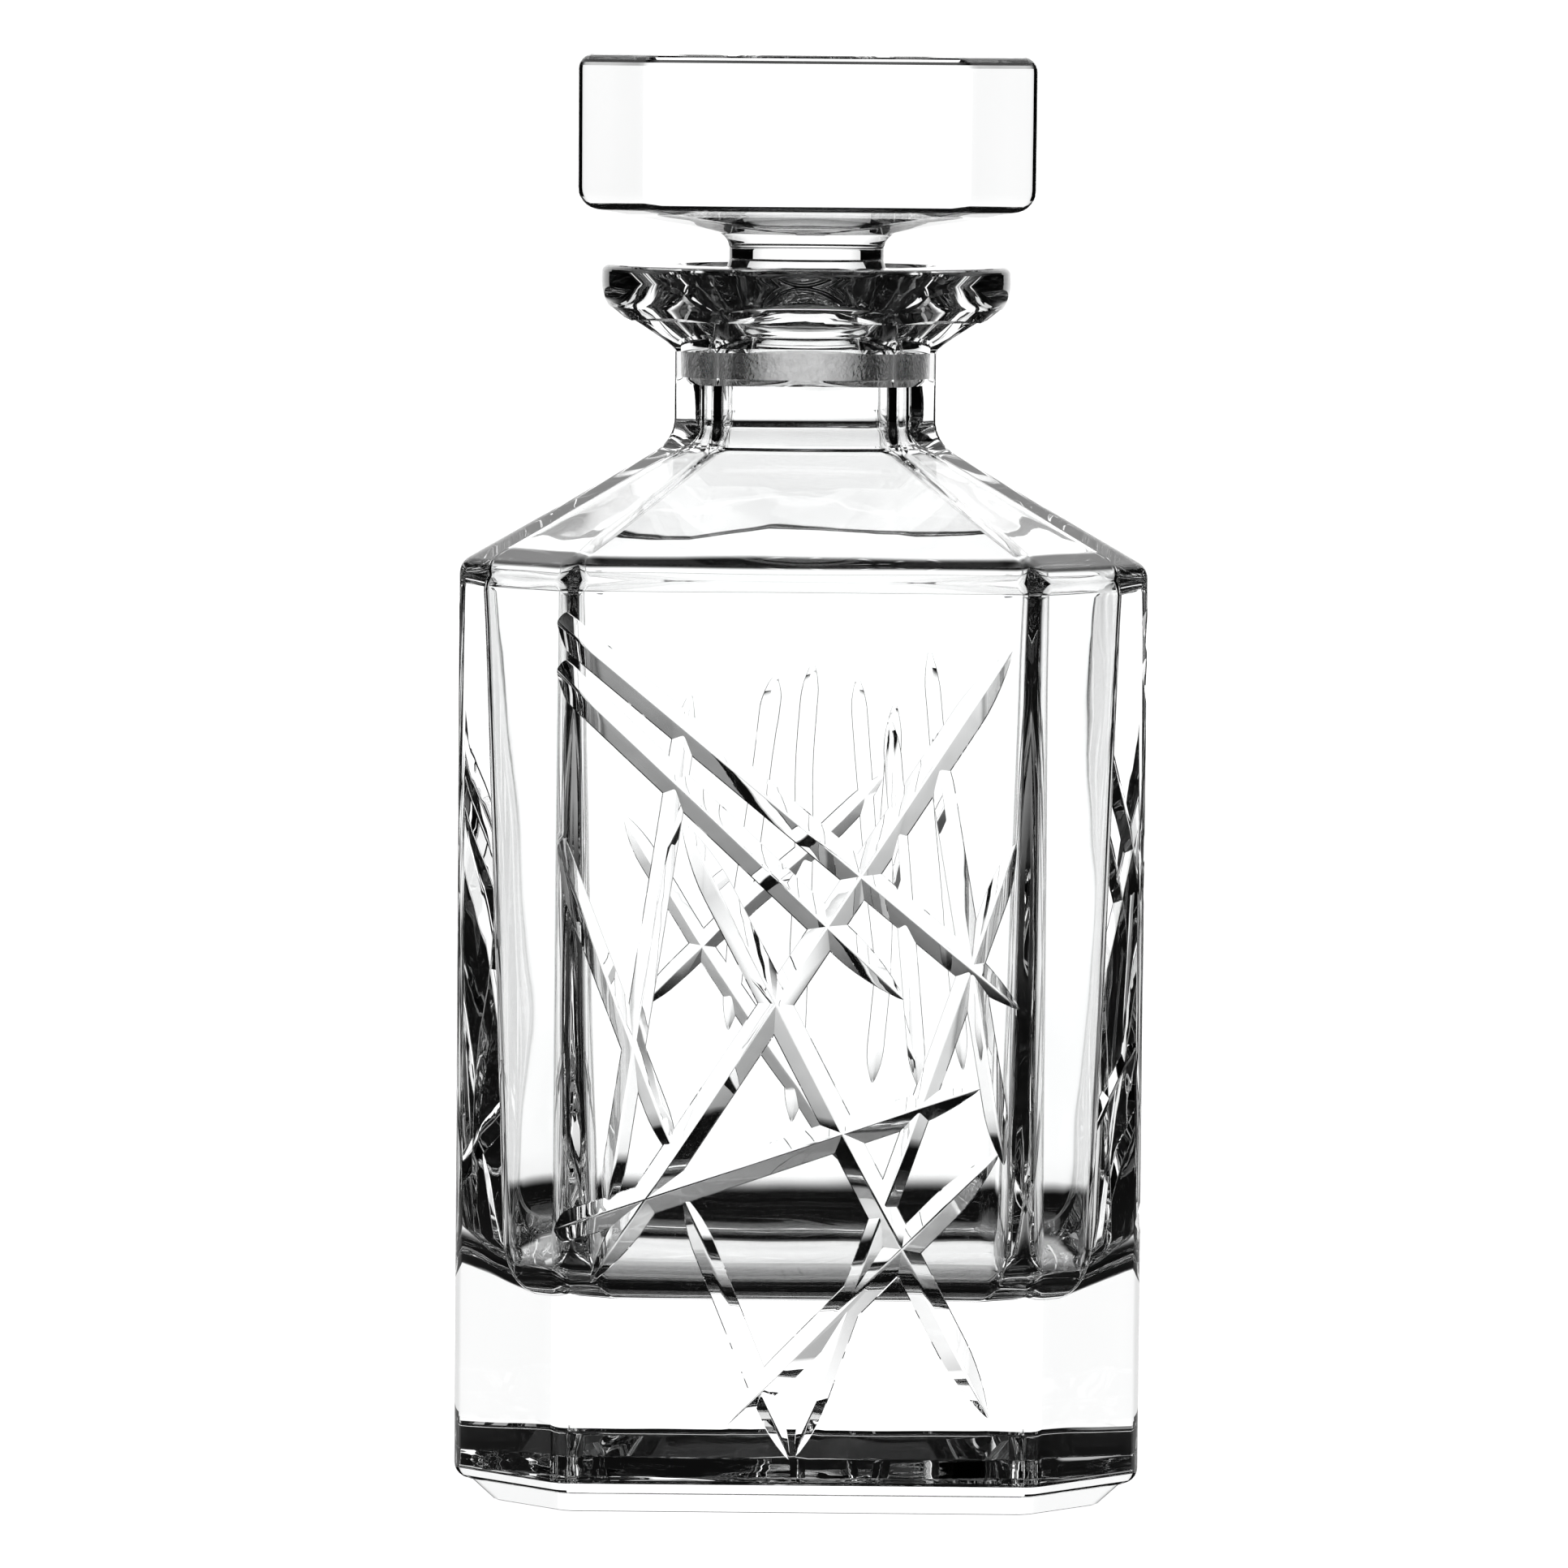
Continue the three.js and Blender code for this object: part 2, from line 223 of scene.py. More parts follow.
# The studio, in metres where a line doesn't say otherwise.
FLOOR_RADIUS = 2.2
FLOOR_SEGMENTS = 96
FLOOR_DROP = 0.0003  # gap that keeps the floor clear of the foot
BACKDROP = 1.3  # brightness of the bright field
AHEAD_FADE = 0.25  # share of a ray's length ahead over which the field reaches full brightness
RISE_FADE = (54, 66)  # degrees above the line of sight over which the surroundings turn dark
DROP_FADE = (5, 17)  # and degrees below it
SIDE_FADE = (16, 40)  # degrees aside over which they turn greyer
SIDE_SHARE = 0.62  # of the brightness that is left at the sides
DARKNESS = 0.004  # what is left where the surroundings are dark
STEEP_VIEW = (12, 19)  # degrees down over which the floor turns from white to pale grey
STEEP_SHARE = 0.7  # of the brightness that is left in steep views
FLOOR_BRIGHT_HALF_WIDTH = 0.34  # of the strip that is seen bright through the glass
FLOOR_EDGE_SOFTNESS = 0.12
FLAG_SIDE = 0.8  # from the line of sight
FLAG_HEIGHT = 0.7  # above and below it
FLAG_REACH = 2.65  # ahead of the camera
FLAG_BEHIND_CAMERA = 0.3
TOP_LIGHT_PLACE = Vector((0.2, -0.3, 1.6))
TOP_LIGHT_SIZE = 0.8
TOP_LIGHT_POWER = 0.04
GLASS_BOUNCES = 40
OTHER_BOUNCES = 16
EYE = Vector((0, -1.4455, 0.2152))
EYE_PITCH = math.radians(-4.45)
EYE_YAW = math.radians(0.105)
EYE_ROLL = math.radians(0.5)
LENS_MM = 223.6
VIEW_END = 20  # the camera sees no further


# ---------------------------------------------------------------- sections and lofts

def section(z, flat, corner, edge=0.0, roundness=0.0):
    """Points of an eight-sided section with rounded corners. Roundness 1 turns it into a circle."""
    distances = [flat if side % 2 == 0 else corner for side in range(8)]
    points = []
    for side in range(8):
        turn = side * math.pi / 4
        last_turn, next_turn = turn - math.pi / 4, turn + math.pi / 4
        here, there = distances[side], distances[(side + 1) % 8]
        centre = corner_point(turn, here - edge, next_turn, there - edge)
        centre_before = corner_point(last_turn, distances[side - 1] - edge, turn, here - edge)
        start = foot_on_side(centre_before, turn, edge)
        end = foot_on_side(centre, turn, edge)
        for step in range(SIDE_STEPS):
            points.append(start.lerp(end, step / SIDE_STEPS))
        for step in range(ARC_STEPS):
            angle = turn + math.pi / 4 * step / ARC_STEPS
            points.append(centre + edge * Vector((math.cos(angle), math.sin(angle))))
    count = len(points)
    shift = SIDE_STEPS / 2
    ring = []
    for i, point in enumerate(points):
        angle = (i - shift) / count * 2 * math.pi
        on_circle = flat * Vector((math.cos(angle), math.sin(angle)))
        mixed = point.lerp(on_circle, roundness)
        ring.append(Vector((mixed.x, mixed.y, z)))
    return ring


def corner_point(turn_a, distance_a, turn_b, distance_b):
    """Where two sides of a section meet, each given by the turn of its normal and its distance."""
    ca, sa = math.cos(turn_a), math.sin(turn_a)
    cb, sb = math.cos(turn_b), math.sin(turn_b)
    det = ca * sb - sa * cb
    return Vector(((distance_a * sb - distance_b * sa) / det, (distance_b * ca - distance_a * cb) / det))


def foot_on_side(centre, turn, edge):
    """Where the rounding about centre touches the side with this normal."""
    return centre + edge * Vector((math.cos(turn), math.sin(turn)))


def circle(z, radius):
    return section(z, radius, radius, 0.0, 1.0)


def arc(steps, start_degrees, end_degrees):
    """Cosine and sine of evenly spaced angles."""
    for step in range(steps + 1):
        angle = math.radians(start_degrees + (end_degrees - start_degrees) * step / steps)
        yield math.cos(angle), math.sin(angle)


def spread(low, high, spacing):
    """Evenly spaced values strictly between low and high."""
    count = max(1, round((high - low) / spacing))
    return [low + (high - low) * i / count for i in range(1, count)]


def loft_mesh(name, rings):
    """A closed mesh through a stack of rings, from the lowest to the highest."""
    count = len(rings[0])
    vertices = [point * MM for ring in rings for point in ring]
    faces = []
    for level in range(len(rings) - 1):
        for i in range(count):
            j = (i + 1) % count
            low, high = level * count, (level + 1) * count
            faces.append((low + i, low + j, high + j, high + i))
    faces.append(tuple(reversed(range(count))))
    top = (len(rings) - 1) * count
    faces.append(tuple(range(top, top + count)))
    mesh = bpy.data.meshes.new(name)
    mesh.from_pydata(vertices, [], faces)
    mesh.validate()
    return mesh


def new_object(name, data):
    added = bpy.data.objects.new(name, data)
    bpy.context.scene.collection.objects.link(added)
    return added


# ---------------------------------------------------------------- the bottle

def body_rings():
    """Foot bevel, faces and faceted shoulder up to the neck."""
    edge = UPRIGHT_EDGE_ROUND
    rings = [
        section(0, FOOT_FLAT - FOOT_SOFTENING, FOOT_CORNER - FOOT_SOFTENING, edge),
        section(FOOT_SOFTENING / 2, FOOT_FLAT, FOOT_CORNER, edge),
    ]
    for side, down in arc(6, 90, 0):
        inset = BEVEL_ROUND * (1 - side)
        z = BEVEL_Z + BEVEL_ROUND * (1 - down)
        rings.append(section(z, BODY_FLAT - inset, BODY_CORNER - inset, edge))
    for z in spread(BEVEL_Z + BEVEL_ROUND, SHOULDER_Z - SHOULDER_ROUND, BODY_SPACING):
        rings.append(section(z, BODY_FLAT, BODY_CORNER, edge))
    tangent = SHOULDER_ROUND * math.tan((math.pi / 2 - SHOULDER_ANGLE) / 2)
    for side, up in arc(6, 0, 90 - math.degrees(SHOULDER_ANGLE)):
        inset = SHOULDER_ROUND * (1 - side)
        z = SHOULDER_Z - tangent + SHOULDER_ROUND * up
        rings.append(section(z, BODY_FLAT - inset, BODY_CORNER - inset, edge))
    return rings


def shoulder_z(flat):
    return SHOULDER_Z + (BODY_FLAT - flat) * math.tan(SHOULDER_ANGLE)


def neck_rings(start_inset):
    """Shoulder slope, fillet, chamfered neck and sloping collar panels."""
    widening = NECK_CORNER - NECK_FLAT
    fillet_flat = NECK_FLAT + NECK_FILLET * (1 - math.sin(SHOULDER_ANGLE))
    fillet_z = shoulder_z(fillet_flat)
    start_flat = BODY_FLAT - start_inset
    start_corner = BODY_CORNER - start_inset
    rings = []
    for share in [0.15, 0.3, 0.45, 0.6, 0.75, 0.9]:
        flat = start_flat + (fillet_flat - start_flat) * share
        corner = start_corner + (fillet_flat + widening - start_corner) * share
        edge = UPRIGHT_EDGE_ROUND - UPRIGHT_EDGE_LOSS * share
        rings.append(section(shoulder_z(flat), flat, corner, edge))
    rise = NECK_FILLET * math.cos(SHOULDER_ANGLE)
    for side, up in arc(8, math.degrees(SHOULDER_ANGLE), 90):
        flat = NECK_FLAT + NECK_FILLET * (1 - up)
        z = fillet_z + rise - NECK_FILLET * side
        rings.append(section(z, flat, flat + widening, NECK_FILLET_EDGE))
    for z in spread(fillet_z + rise, COLLAR_FOOT_Z + COLLAR_BEND[0][0], RING_SPACING):
        rings.append(section(z, NECK_FLAT, NECK_CORNER, NECK_EDGE))
    for above, flat_growth, corner_growth, edge in COLLAR_BEND:
        flat, corner = NECK_FLAT + flat_growth, NECK_CORNER + corner_growth
        rings.append(section(COLLAR_FOOT_Z + above, flat, corner, edge))
    for share in [0.35, 0.6, 0.8]:
        z = COLLAR_FOOT_Z + (COLLAR_CREASE_Z - COLLAR_FOOT_Z) * share
        flat = NECK_FLAT + (COLLAR_CREASE_FLAT - NECK_FLAT) * share
        corner = NECK_CORNER + (COLLAR_CREASE_CORNER - NECK_CORNER) * share
        rings.append(section(z, flat, corner, COLLAR_EDGE))
    return rings + lip_rings()


def lip_rings():
    """Scalloped crease under the lip, the rounded lip itself and its flat top."""
    crease = section(COLLAR_CREASE_Z, COLLAR_CREASE_FLAT, COLLAR_CREASE_CORNER, COLLAR_CREASE_EDGE)
    scallop = []
    for point in crease:
        radius = point.xy.length
        over = max(0.0, radius - COLLAR_CREASE_FLAT)
        keep = min(radius, CREASE_RADIUS) / radius
        scallop.append(Vector((point.x * keep, point.y * keep, point.z - CREASE_DROP * over)))
    rings = [scallop]
    for side, up in arc(6, LIP_LOW_TURN, 0):
        inset = (RIM_RADIUS - LIP_LOW_RADIUS) * (1 - side) ** LIP_LOW_FULLNESS
        z = COLLAR_CREASE_Z + LIP_LOW_HEIGHT * (1 - up) + LIP_LOW_LIFT
        rings.append(circle(z, RIM_RADIUS - inset))
    for side, up in arc(5, 15, 90):
        inset = LIP_TOP_ROUND * (1 - side)
        rings.append(circle(RIM_Z - LIP_TOP_ROUND * (1 - up), RIM_RADIUS - inset))
    return rings


def bottle_outside():
    rings = body_rings()
    inset = SHOULDER_ROUND * (1 - math.cos(math.pi / 2 - SHOULDER_ANGLE))
    return loft_mesh("bottle_outside", rings + neck_rings(inset))


def wavy(ring, amount, seed):
    """The slight unevenness of a blown surface: each point moves along its own radius."""
    moved = []
    for point in ring:
        drawn = Vector((point.x, point.y, point.z * WAVE_DRAW))
        shift = amount * noise.noise(drawn / WAVE_LENGTH + Vector((seed, seed, seed)))
        ripple = noise.noise(drawn / RIPPLE_LENGTH + Vector((seed, 0, seed)))
        shift += RIPPLE_SHARE * amount * ripple
        outward = Vector((point.x, point.y, 0)).normalized()
        moved.append(point + outward * shift)
    return moved


def bottle_hollow():
    """The blown chamber, shoulder and bore, then the ground seat and the pouring mouth."""
    blown = chamber_rings()
    blown += inner_shoulder_rings()
    blown += bore_rings(blown[-1][0].z)
    rings = [wavy(ring, hollow_unevenness(ring[0].z), HOLLOW_SEED) for ring in blown]
    return loft_mesh("bottle_hollow", rings + seat_rings() + mouth_rings())


def chamber_rings():
    """Rounded floor, tapering walls with soft upright edges, and the turn into the shoulder."""
    rings = []
    for side, down in arc(9, 90, 0):
        inset = CAVITY_FLOOR_ROUND * (1 - side)
        z = CAVITY_FLOOR_Z + CAVITY_FLOOR_ROUND * (1 - down)
        flat, corner, edge = cavity_size(z)
        edge = max(CAVITY_FLOOR_EDGE_LEAST, edge - CAVITY_FLOOR_EDGE_LOSS * inset)
        rings.append(section(z, flat - inset, corner - inset, edge))
    walls_top = CAVITY_TOP_Z - CAVITY_TOP_ROUND
    for z in spread(CAVITY_FLOOR_Z + CAVITY_FLOOR_ROUND, walls_top, CAVITY_SPACING):
        rings.append(section(z, *cavity_size(z)))
    tangent = CAVITY_TOP_ROUND * math.tan((math.pi / 2 - SHOULDER_ANGLE) / 2)
    flat, corner, edge = cavity_size(CAVITY_TOP_Z)
    for side, up in arc(6, 0, 90 - math.degrees(SHOULDER_ANGLE)):
        inset = CAVITY_TOP_ROUND * (1 - side)
        z = CAVITY_TOP_Z - tangent + CAVITY_TOP_ROUND * up
        rings.append(section(z, flat - inset, corner - inset, edge))
    return rings


def inner_shoulder_rings():
    """The slope from the chamber's top to the flare of the bore."""
    inset = CAVITY_TOP_ROUND * (1 - math.sin(SHOULDER_ANGLE))
    start_flat = CAVITY_TOP_FLAT - inset
    start_corner = CAVITY_TOP_CORNER - inset
    flare_flat = BORE_FLAT + BORE_FLARE
    flare_corner = BORE_CORNER + BORE_FLARE
    rings = []
    steps = 8
    for step in range(1, steps + 1):
        share = step / steps
        flat = start_flat + (flare_flat - start_flat) * share
        corner = start_corner + (flare_corner - start_corner) * share
        z = CAVITY_TOP_Z + (CAVITY_TOP_FLAT - flat) * math.tan(SHOULDER_ANGLE)
        edge = CAVITY_EDGE_HIGH + CAVITY_SHOULDER_EDGE_GROWTH * share
        rings.append(section(z, flat, corner, edge))
    return rings


def bore_rings(flare_z):
    """The bore from its flare up to where it turns round."""
    rings = []
    for side, up in arc(6, 15, 90):
        outset = BORE_FLARE * (1 - up)
        z = flare_z + BORE_FLARE_HEIGHT * (1 - side)
        edge = BORE_EDGE + BORE_FLARE_EDGE_GROWTH * outset
        rings.append(section(z, BORE_FLAT + outset, BORE_CORNER + outset, edge))
    for z in spread(flare_z + BORE_FLARE_HEIGHT, BORE_TOP_Z, BORE_SPACING):
        rings.append(section(z, BORE_FLAT, BORE_CORNER, BORE_EDGE))
    return rings


def seat_rings():
    """The bore turns round, then tapers gently outward as the ground seat."""
    rings = []
    for share in [0, 0.25, 0.5, 0.75]:
        z = BORE_TOP_Z + (SEAT_Z - BORE_TOP_Z) * share
        flat = BORE_FLAT + (SEAT_RADIUS - BORE_FLAT) * share
        corner = BORE_CORNER + (SEAT_RADIUS - BORE_CORNER) * share
        rings.append(section(z, flat, corner, BORE_EDGE, share))
    rings.append(circle(SEAT_Z, SEAT_RADIUS))
    seat_top = MOUTH_Z - MOUTH_BEND
    heights = spread(SEAT_Z, FROST_TOP_Z, RING_SPACING) + [FROST_TOP_Z]
    heights += spread(FROST_TOP_Z, seat_top, RING_SPACING) + [seat_top]
    return rings + [circle(z, seat_radius(z)) for z in heights]


def mouth_rings():
    """The flared pouring mouth and its softened edge at the lip."""
    growth = (MOUTH_RADIUS - seat_radius(MOUTH_Z)) / (RIM_Z - MOUTH_Z)
    rings = []
    for above in MOUTH_RINGS:
        rings.append(circle(MOUTH_Z + above, seat_radius(MOUTH_Z) + growth * above))
    edge_radius = MOUTH_RADIUS + MOUTH_EDGE_SOFTENING
    rings.append(circle(RIM_Z - MOUTH_EDGE, MOUTH_RADIUS - MOUTH_EDGE * growth))
    rings.append(circle(RIM_Z - MOUTH_EDGE_SOFTENING, edge_radius))
    rings.append(circle(RIM_Z + MOUTH_OVERCUT, edge_radius + 2 * MOUTH_OVERCUT))
    return rings


def hollow_unevenness(z):
    """The blown surface is least even at the floor and under the shoulder."""
    above_walls = max(0.0, min(1.0, (z - UNEVEN_ABOVE) / UNEVEN_BLEND))
    below_walls = max(0.0, min(1.0, (UNEVEN_BELOW - z) / UNEVEN_BLEND))
    return WALL_UNEVENNESS + (END_UNEVENNESS - WALL_UNEVENNESS) * max(above_walls, below_walls)


def cavity_size(z):
    """Flat distance, corner distance and inner edge radius of the chamber at a height."""
    share = (z - CAVITY_FLOOR_Z) / (CAVITY_TOP_Z - CAVITY_FLOOR_Z)
    flat = CAVITY_FLOOR_FLAT + (CAVITY_TOP_FLAT - CAVITY_FLOOR_FLAT) * share
    corner = CAVITY_FLOOR_CORNER + (CAVITY_TOP_CORNER - CAVITY_FLOOR_CORNER) * share
    edge = CAVITY_EDGE_LOW + (CAVITY_EDGE_HIGH - CAVITY_EDGE_LOW) * share
    most = (flat * math.sqrt(2) - corner) / math.tan(math.pi / 8)
    return flat, corner, min(edge, most)


def seat_radius(z):
    return SEAT_RADIUS + SEAT_TAPER * (z - SEAT_Z)


# ---------------------------------------------------------------- the mitre cuts

def cutter_profile(keel):
    """Half of a cut's cross-section where the V is keel deep: distance across and depth."""
    sunk = max(keel, SHALLOWEST)
    lip_depth = min(LIP_DEPTH, LIP_MOST * sunk)
    lip = LIP_WIDTH * lip_depth / LIP_DEPTH
    half = (sunk - lip_depth) / CUT_SLOPE
    valley = min(VALLEY_WIDTH, VALLEY_MOST * half)
    outline = [
        (half + lip + CUT_FLARE, -CUT_LIFT),
        (half + lip, -CUT_SKIN),
        (half, lip_depth),
        (valley, sunk - valley * CUT_SLOPE),
        (VALLEY_FLOOR * valley, sunk - VALLEY_RISE * valley * CUT_SLOPE),
    ]
    return [(across, depth - sunk + keel) for across, depth in outline]


def cutter(index, start, end, width, face):
    """One boat-shaped V cutter, standing on one of the four faces."""
    start, end = Vector(start), Vector(end)
    along = (end - start).normalized()
    across = Vector((-along.y, along.x))
    length = (end - start).length
    depth = (width / 2 - LIP_WIDTH) * CUT_SLOPE + LIP_DEPTH
    run_out = min(CUT_RUN_OUT * width, CUT_RUN_OUT_MOST * length)
    stations = []
    for step in range(CUT_RUN_OUT_STEPS + 1):
        share = step / CUT_RUN_OUT_STEPS
        stations.append((run_out * share, depth * (1 - (1 - share) ** 2)))
    stations = stations + [(length - distance, keel) for distance, keel in reversed(stations)]
    stations[0] = (stations[0][0], -CUT_END_LIFT)
    stations[-1] = (stations[-1][0], -CUT_END_LIFT)
    turn = Matrix.Rotation(face * math.pi / 2, 4, "Z")
    rings = []
    for distance, keel in stations:
        half = cutter_profile(keel)
        outline = [(-aside, sunk) for aside, sunk in half] + list(reversed(half))
        ring = []
        for aside, sunk in outline:
            place = start + along * distance + across * aside
            ring.append(turn @ Vector((place.x, sunk - BODY_FLAT, place.y)))
        rings.append(ring)
    name = f"cutter_{face}_{index}"
    return new_object(name, loft_mesh(name, rings))


def subtract(piece, tools):
    """Takes the tool solids away from the piece, and removes them."""
    group = bpy.data.collections.new("tools")
    bpy.context.scene.collection.children.link(group)
    for tool in tools:
        group.objects.link(tool)
    modifier = piece.modifiers.new("cut", "BOOLEAN")
    modifier.operation = "DIFFERENCE"
    modifier.solver = "MANIFOLD"
    modifier.operand_type = "COLLECTION"
    modifier.collection = group
    apply_modifiers(piece)
    for tool in tools:
        bpy.data.objects.remove(tool, do_unlink=True)
    bpy.data.collections.remove(group)


def apply_modifiers(piece):
    depsgraph = bpy.context.evaluated_depsgraph_get()
    finished = bpy.data.meshes.new_from_object(piece.evaluated_get(depsgraph))
    piece.modifiers.clear()
    piece.data = finished


def finish_surface(piece):
    """Smooth where the glass curves, crisp where it is cut, with flat faces kept truly flat."""
    mesh = piece.data
    mesh.polygons.foreach_set("use_smooth", [True] * len(mesh.polygons))
    mesh.set_sharp_from_angle(angle=SHARP_ANGLE)
    modifier = piece.modifiers.new("flat_faces", "WEIGHTED_NORMAL")
    modifier.weight = 100
    modifier.keep_sharp = True
    apply_modifiers(piece)


def build_bottle(polished, cut, ground):
    bottle = new_object("bottle_crystal", bottle_outside())
    for material in (polished, cut, ground):
        bottle.data.materials.append(material)
    hollow = new_object("hollow", bottle_hollow())
    hollow.data.materials.append(polished)
    tools = [hollow]
    for face in range(4):
        pattern = BACK_CUTS if face == BACK_FACE else FACE_CUTS
        for index, (start, end, width) in enumerate(pattern):
            tool = cutter(index, start, end, width, face)
            tool.data.materials.append(cut)
            tools.append(tool)
    subtract(bottle, tools)
    mark_ground(bottle, ground, SEAT_Z, FROST_TOP_Z)
    finish_surface(bottle)
    return bottle


def mark_ground(piece, ground, low, high):
    """Gives the ground finish to the faces of the seat or plug between two heights."""
    index = [slot.material for slot in piece.material_slots].index(ground)
    for face in piece.data.polygons:
        centre = face.center / MM
        if low < centre.z < high and centre.xy.length < GROUND_REACH:
            face.material_index = index


# ---------------------------------------------------------------- the stopper

def stopper_mesh():
    """Ground conical plug, short round stem with a curve under the head, and the head."""
    rings = []
    end = plug_radius(PLUG_END_Z)
    for side, down in arc(5, 90, 0):
        z = PLUG_END_Z + PLUG_END_ROUND * (1 - down)
        rings.append(circle(z, end - PLUG_END_ROUND * (1 - side)))
    heights = spread(PLUG_END_Z + PLUG_END_ROUND, FROST_TOP_Z, RING_SPACING) + [FROST_TOP_Z]
    for z in heights + spread(FROST_TOP_Z, PLUG_TOP_Z, RING_SPACING):
        rings.append(circle(z, plug_radius(z)))
    foot_radius = STEM_RADIUS + STEM_FOOT
    for side, up in arc(4, 0, 90):
        radius = foot_radius + (plug_radius(PLUG_TOP_Z) - foot_radius) * side
        rings.append(circle(PLUG_TOP_Z + PLUG_TOP_ROUND * up, radius))
    for above in STEM_RINGS:
        rings.append(circle(PLUG_TOP_Z + above, STEM_RADIUS))
    for side, up in arc(7, 0, STEM_FLARE_TURN):
        rings.append(circle(STEM_TOP_Z + STEM_FLARE * up, STEM_RADIUS + STEM_FLARE * (1 - side)))
    rings += head_rings(rings[-1][0].z, rings[-1][0].xy.length)
    return loft_mesh("stopper_crystal", rings)


def plug_radius(z):
    return seat_radius(z) - SEAT_GAP


def head_rings(low_z, low_radius):
    """Sloping underside, rounded lower edge, upright sides and rounded upper edge of the head."""
    rings = []
    side_flat = HEAD_FLAT - HEAD_FOOT_ROUND
    side_corner = HEAD_CORNER - HEAD_FOOT_ROUND
    for step in range(1, UNDERSIDE_STEPS):
        share = step / UNDERSIDE_STEPS
        flat = low_radius + (side_flat - low_radius) * share
        corner = low_radius + (side_corner - low_radius) * share
        z = low_z + (UNDERSIDE_Z - low_z) * share
        roundness = max(0.0, 1 - UNDERSIDE_SQUARING * share)
        rings.append(section(z, flat, corner, HEAD_EDGE_ROUND, roundness))
    for side, down in arc(7, HEAD_FOOT_TURN, 0):
        inset = HEAD_FOOT_ROUND * (1 - side)
        z = UNDERSIDE_Z + HEAD_FOOT_ROUND * (1 - down)
        rings.append(section(z, HEAD_FLAT - inset, HEAD_CORNER - inset, HEAD_EDGE_ROUND))
    sides_top = HEAD_TOP_Z - HEAD_TOP_ROUND
    for z in spread(UNDERSIDE_Z + HEAD_FOOT_ROUND, sides_top, RING_SPACING):
        rings.append(section(z, HEAD_FLAT, HEAD_CORNER, HEAD_EDGE_ROUND))
    for side, up in arc(7, 0, 90):
        inset = HEAD_TOP_ROUND * (1 - side)
        z = HEAD_TOP_Z - HEAD_TOP_ROUND * (1 - up)
        edge = HEAD_EDGE_ROUND - HEAD_TOP_EDGE_LOSS * inset
        rings.append(section(z, HEAD_FLAT - inset, HEAD_CORNER - inset, edge))
    return [shrunk(wavy(ring, HEAD_UNEVENNESS, HEAD_SEED), HEAD_UNEVENNESS) for ring in rings]


def shrunk(ring, amount):
    """Draws a ring in, so that an uneven surface stays inside its nominal size."""
    return [point - Vector((point.x, point.y, 0)).normalized() * amount for point in ring]


def build_stopper(polished, ground):
    stopper = new_object("stopper_crystal", stopper_mesh())
    stopper.data.materials.append(polished)
    stopper.data.materials.append(ground)
    mark_ground(stopper, ground, PLUG_END_Z + PLUG_FROST_LIFT, FROST_TOP_Z)
    finish_surface(stopper)
    return stopper


# ---------------------------------------------------------------- materials

def node_material(name):
    material = bpy.data.materials.new(name)
    material.use_nodes = True
    nodes = material.node_tree.nodes
    return material, nodes, material.node_tree.links, nodes["Principled BSDF"]


def crystal(name, roughness, roughness_swing, bumps, tint=CRYSTAL_TINT):
    """Clear crystal. Each bump is (noise scale per metre, strength, distance in metres)."""
    material, nodes, links, shader = node_material(name)
    shader.inputs["Base Color"].default_value = tint
    shader.inputs["IOR"].default_value = CRYSTAL_IOR
    shader.inputs["Transmission Weight"].default_value = 1
    place = nodes.new("ShaderNodeTexCoord")
    grain = nodes.new("ShaderNodeTexNoise")
    grain.inputs["Scale"].default_value = GRAIN_SCALE
    links.new(place.outputs["Object"], grain.inputs["Vector"])
    patches = nodes.new("ShaderNodeMapRange")
    patches.inputs["To Min"].default_value = max(0.0, roughness - roughness_swing)
    patches.inputs["To Max"].default_value = roughness + roughness_swing
    links.new(grain.outputs["Fac"], patches.inputs["Value"])
    links.new(patches.outputs["Result"], shader.inputs["Roughness"])
    normal = None
    for scale, strength, distance in bumps:
        texture = nodes.new("ShaderNodeTexNoise")
        texture.inputs["Scale"].default_value = scale
        texture.inputs["Detail"].default_value = 1
        links.new(place.outputs["Object"], texture.inputs["Vector"])
        bump = nodes.new("ShaderNodeBump")
        bump.inputs["Strength"].default_value = strength
        bump.inputs["Distance"].default_value = distance
        links.new(texture.outputs["Fac"], bump.inputs["Height"])
        if normal is not None:
            links.new(normal, bump.inputs["Normal"])
        normal = bump.outputs["Normal"]
    links.new(normal, shader.inputs["Normal"])
    return material


def polished_crystal():
    return crystal("polished_crystal", 0.0, 0.002, [(55, 0.6, 0.00012)])


def cut_crystal():
    return crystal("cut_crystal", 0.012, 0.01, [(55, 0.5, 0.0001), (260, 0.25, 0.00006)])


def ground_crystal():
    return crystal("ground_crystal", 0.42, 0.2, [(1500, 0.9, 0.00016)], FROST_TINT)


def map_range(nodes, links, value, low, high, at_low, at_high):
    """A smooth step from one value to another."""
    node = nodes.new("ShaderNodeMapRange")
    node.interpolation_type = "SMOOTHSTEP"
    node.inputs["From Min"].default_value = low
    node.inputs["From Max"].default_value = high
    node.inputs["To Min"].default_value = at_low
    node.inputs["To Max"].default_value = at_high
    links.new(value, node.inputs["Value"])
    return node.outputs["Result"]


def calculate(nodes, links, operation, first, second=None):
    node = nodes.new("ShaderNodeMath")
    node.operation = operation
    for socket, value in zip(node.inputs, (first, second)):
        if isinstance(value, (int, float)):
            socket.default_value = value
        elif value is not None:
            links.new(value, socket)
    return node.outputs["Value"]


